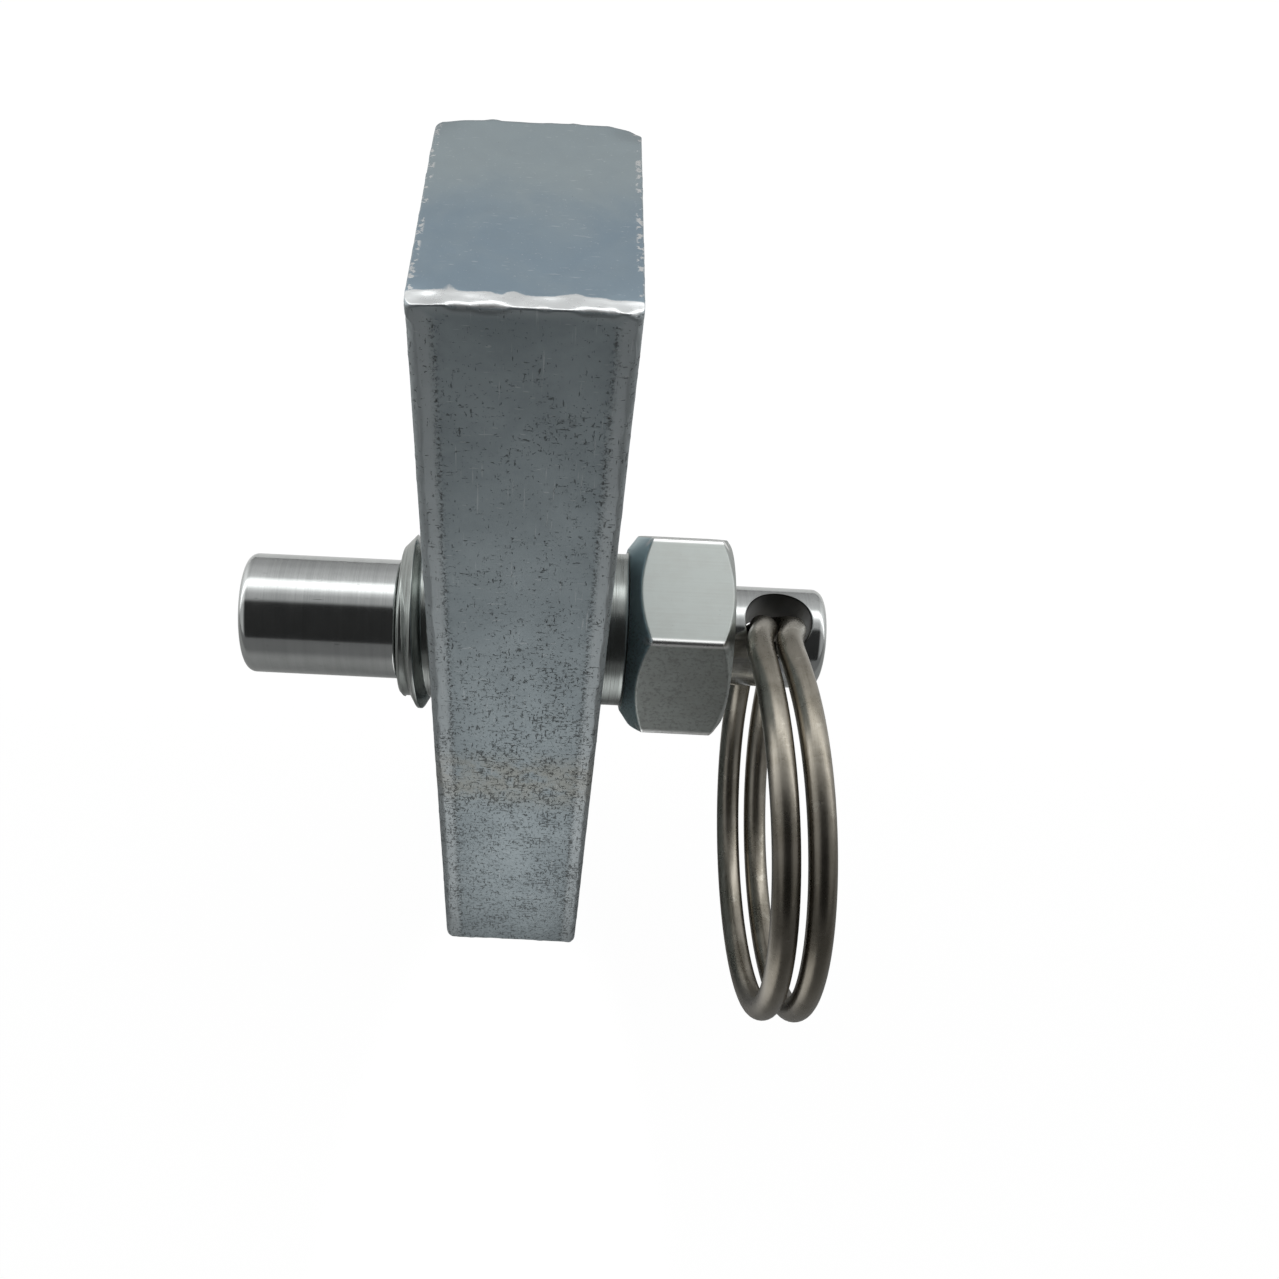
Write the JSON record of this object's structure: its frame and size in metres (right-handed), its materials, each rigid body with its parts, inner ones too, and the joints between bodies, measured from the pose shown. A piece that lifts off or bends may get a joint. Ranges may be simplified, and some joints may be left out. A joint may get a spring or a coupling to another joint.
{
  "type": "hitch pin lock",
  "caption": "Weld-on locking pin: a flat bar block carries a threaded spring plunger with a round nose, pulled back by a split ring.",
  "frame": {"origin": "middle of the block's rear weld face (the 16 by 90 mm face), level with the pin's axis", "axes": "+X along the pin, from the nose to the pull end; +Y out of the rear weld face; +Z along the block, up"},
  "size_m": [0.0576, 0.0478, 0.09],
  "materials": {
    "zinc_block": "blue-white zinc plate over sheared flat bar, fine pits and scratches, rough edges",
    "zinc_body": "bright zinc plate over turned and milled steel, blue tint on the front chamfer",
    "polished_pin": "ground and zinc plated steel, mirror-like with fine scratches",
    "spring_steel": "drawn spring wire, satin grey",
    "ring_wire": "drawn steel wire, brownish dark grey, satin"
  },
  "bodies": {
    "block": {"mounting_block": "zinc_block", "plunger_body": "zinc_body", "return_spring": "spring_steel"},
    "pin": {"locking_pin": "polished_pin"},
    "pull": {"pull_end": "polished_pin"},
    "ring": {"split_ring": "ring_wire"}
  },
  "joints": [
    {"name": "pin_slide", "type": "slide", "parent": "block", "child": "pin", "axis": [1, 0, 0], "range_m": [0, 0.012], "stiffness_N_per_m": 3200, "springref_m": -0.0072, "deforming": ["return_spring"]},
    {"name": "pull_turn", "type": "hinge", "parent": "pin", "child": "pull", "pos_m": [0.0155, -0.0125, 0], "axis": [1, 0, 0], "continuous": true},
    {"name": "ring_swing", "type": "hinge", "parent": "pull", "child": "ring", "pos_m": [0.02515, -0.0125, 0], "axis": [0, -0.3746, 0.9272], "range_deg": [-5, 175]}
  ]
}
